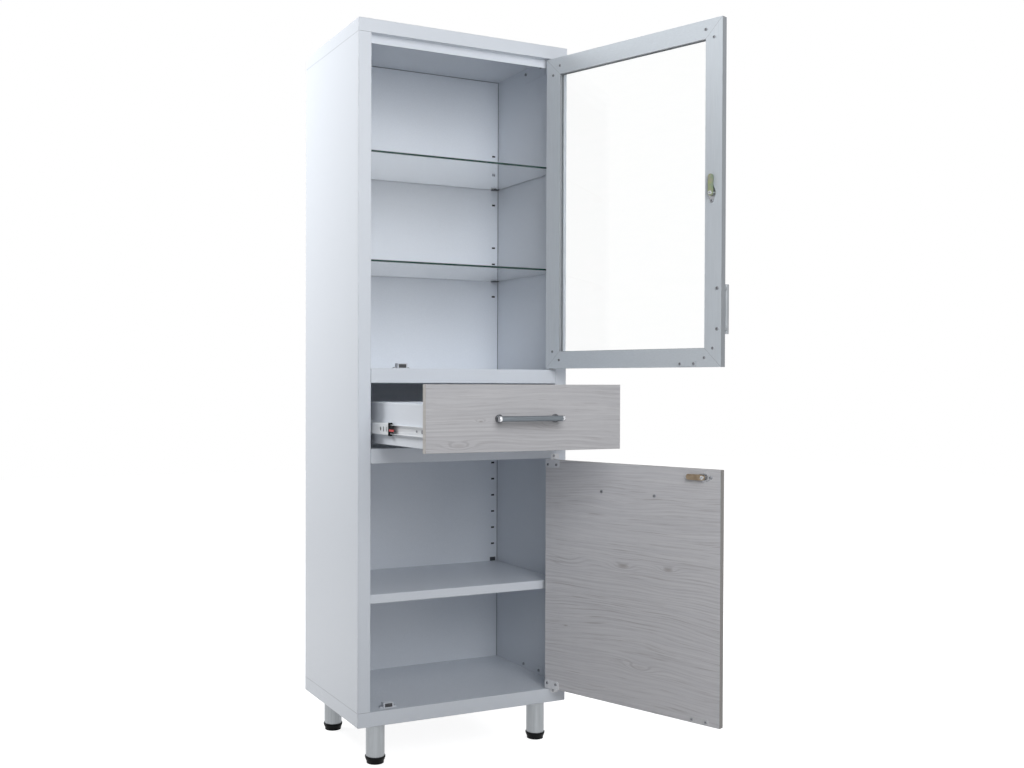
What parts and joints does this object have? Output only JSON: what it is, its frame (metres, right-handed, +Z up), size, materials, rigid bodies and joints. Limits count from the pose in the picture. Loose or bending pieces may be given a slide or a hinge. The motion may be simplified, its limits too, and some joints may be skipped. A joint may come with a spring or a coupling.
{
  "type": "medicine cabinet",
  "caption": "Free-standing white steel medicine cabinet with a framed glass door above, a drawer on ball-bearing slides and a woodgrain door below, on round metal legs.",
  "frame": {"origin": "on the floor, midway between the four feet", "axes": "+Z up, +X to the right seen from the front, the front of the cabinet towards -Y"},
  "size_m": [0.7624, 0.8888, 1.86],
  "materials": {
    "white_paint": "gloss powder coat",
    "zinc_steel": "bright zinc plate",
    "hinge_steel": "dull zinc plate",
    "leg_metal": "satin plated tube",
    "black_plastic": "moulded",
    "red_plastic": "moulded",
    "catch_plastic": "moulded",
    "magnet": "dull",
    "aluminium": "satin anodised",
    "clear_glass": "clear float glass",
    "seal_rubber": "matt",
    "bush_nylon": "moulded",
    "board": "pale woodgrain laminate on board",
    "handle_metal": "satin",
    "lock_chrome": "plated",
    "yellow_zinc": "yellow passivated zinc"
  },
  "bodies": {
    "cabinet": {"right_side_panel": "white_paint", "left_side_panel": "white_paint", "back_panel": "white_paint", "top_panel": "white_paint", "bottom_panel": "white_paint", "upper_divider": "white_paint", "lower_divider": "white_paint", "base_channels": "zinc_steel", "leg_tubes": "leg_metal", "leg_feet": "black_plastic", "leg_bolts": "zinc_steel", "steel_shelf": "white_paint", "lower_glass_shelf": "clear_glass", "upper_glass_shelf": "clear_glass", "glass_shelf_clips": "zinc_steel", "steel_shelf_clips": "zinc_steel", "pivot_brackets": "hinge_steel", "pivot_pins": "zinc_steel", "catch_bodies": "catch_plastic", "catch_magnets": "magnet", "cabinet_fasteners": "zinc_steel", "slide_brackets": "zinc_steel", "slide_outer_members": "zinc_steel"},
    "upper_door": {"upper_door_lock_stile": "aluminium", "upper_door_hinge_stile": "aluminium", "upper_door_bottom_rail": "aluminium", "upper_door_top_rail": "aluminium", "upper_door_pane": "clear_glass", "upper_door_gasket": "seal_rubber", "upper_door_corner_brackets": "aluminium", "upper_door_bushes": "bush_nylon", "upper_door_handle_bar": "handle_metal", "upper_door_handle_posts": "handle_metal", "upper_door_strike": "zinc_steel", "upper_door_screws": "zinc_steel", "upper_lock_body": "lock_chrome"},
    "upper_lock": {"upper_lock_plug": "lock_chrome", "upper_lock_cam": "yellow_zinc", "upper_lock_nut": "zinc_steel"},
    "lower_door": {"lower_door_panel": "board", "lower_door_hinge_leaves": "hinge_steel", "lower_door_handle_bar": "handle_metal", "lower_door_handle_posts": "handle_metal", "lower_door_strike": "zinc_steel", "lower_door_screws": "zinc_steel", "lower_lock_body": "lock_chrome"},
    "lower_lock": {"lower_lock_plug": "lock_chrome", "lower_lock_cam": "yellow_zinc", "lower_lock_nut": "zinc_steel"},
    "drawer": {"drawer_tray": "white_paint", "drawer_front": "board", "drawer_handle_bar": "handle_metal", "drawer_handle_posts": "handle_metal", "drawer_screws": "zinc_steel", "slide_inner_members": "zinc_steel"},
    "slide_middles": {"slide_middle_members": "zinc_steel", "slide_bumpers": "black_plastic", "slide_levers": "red_plastic"},
    "outer_cages": {"slide_outer_cages": "zinc_steel"},
    "inner_cages": {"slide_inner_cages": "zinc_steel"}
  },
  "joints": [
    {"name": "upper_door_hinge", "type": "hinge", "parent": "cabinet", "child": "upper_door", "pos_m": [0.256, -0.1955, 1.4115], "axis": [0, 0, 1], "range_deg": [-110, 15]},
    {"name": "lower_door_hinge", "type": "hinge", "parent": "cabinet", "child": "lower_door", "pos_m": [0.256, -0.1955, 0.451], "axis": [0, 0, 1], "range_deg": [-110, 15]},
    {"name": "upper_lock_turn", "type": "hinge", "parent": "upper_door", "child": "upper_lock", "pos_m": [0.42073, -0.66125, 1.411], "axis": [0.9397, 0.342, 0], "range_deg": [0, 90]},
    {"name": "lower_lock_turn", "type": "hinge", "parent": "lower_door", "child": "lower_lock", "pos_m": [0.41517, -0.64305, 0.737], "axis": [0.9397, 0.342, 0], "range_deg": [0, 90]},
    {"name": "drawer_slide", "type": "slide", "parent": "cabinet", "child": "drawer", "axis": [0, -1, 0], "range_m": [-0.311, 0.039]},
    {"name": "slide_middle_run", "type": "slide", "parent": "cabinet", "child": "slide_middles", "axis": [0, -1, 0], "range_m": [-0.1555, 0.0195]},
    {"name": "outer_cage_run", "type": "slide", "parent": "cabinet", "child": "outer_cages", "axis": [0, -1, 0], "range_m": [-0.07775, 0.00975]},
    {"name": "inner_cage_run", "type": "slide", "parent": "cabinet", "child": "inner_cages", "axis": [0, -1, 0], "range_m": [-0.23325, 0.02925]}
  ],
  "couplings": [
    {"joint": "slide_middle_run", "follows": "drawer_slide", "ratio": 0.5},
    {"joint": "outer_cage_run", "follows": "drawer_slide", "ratio": 0.25},
    {"joint": "inner_cage_run", "follows": "drawer_slide", "ratio": 0.75}
  ]
}
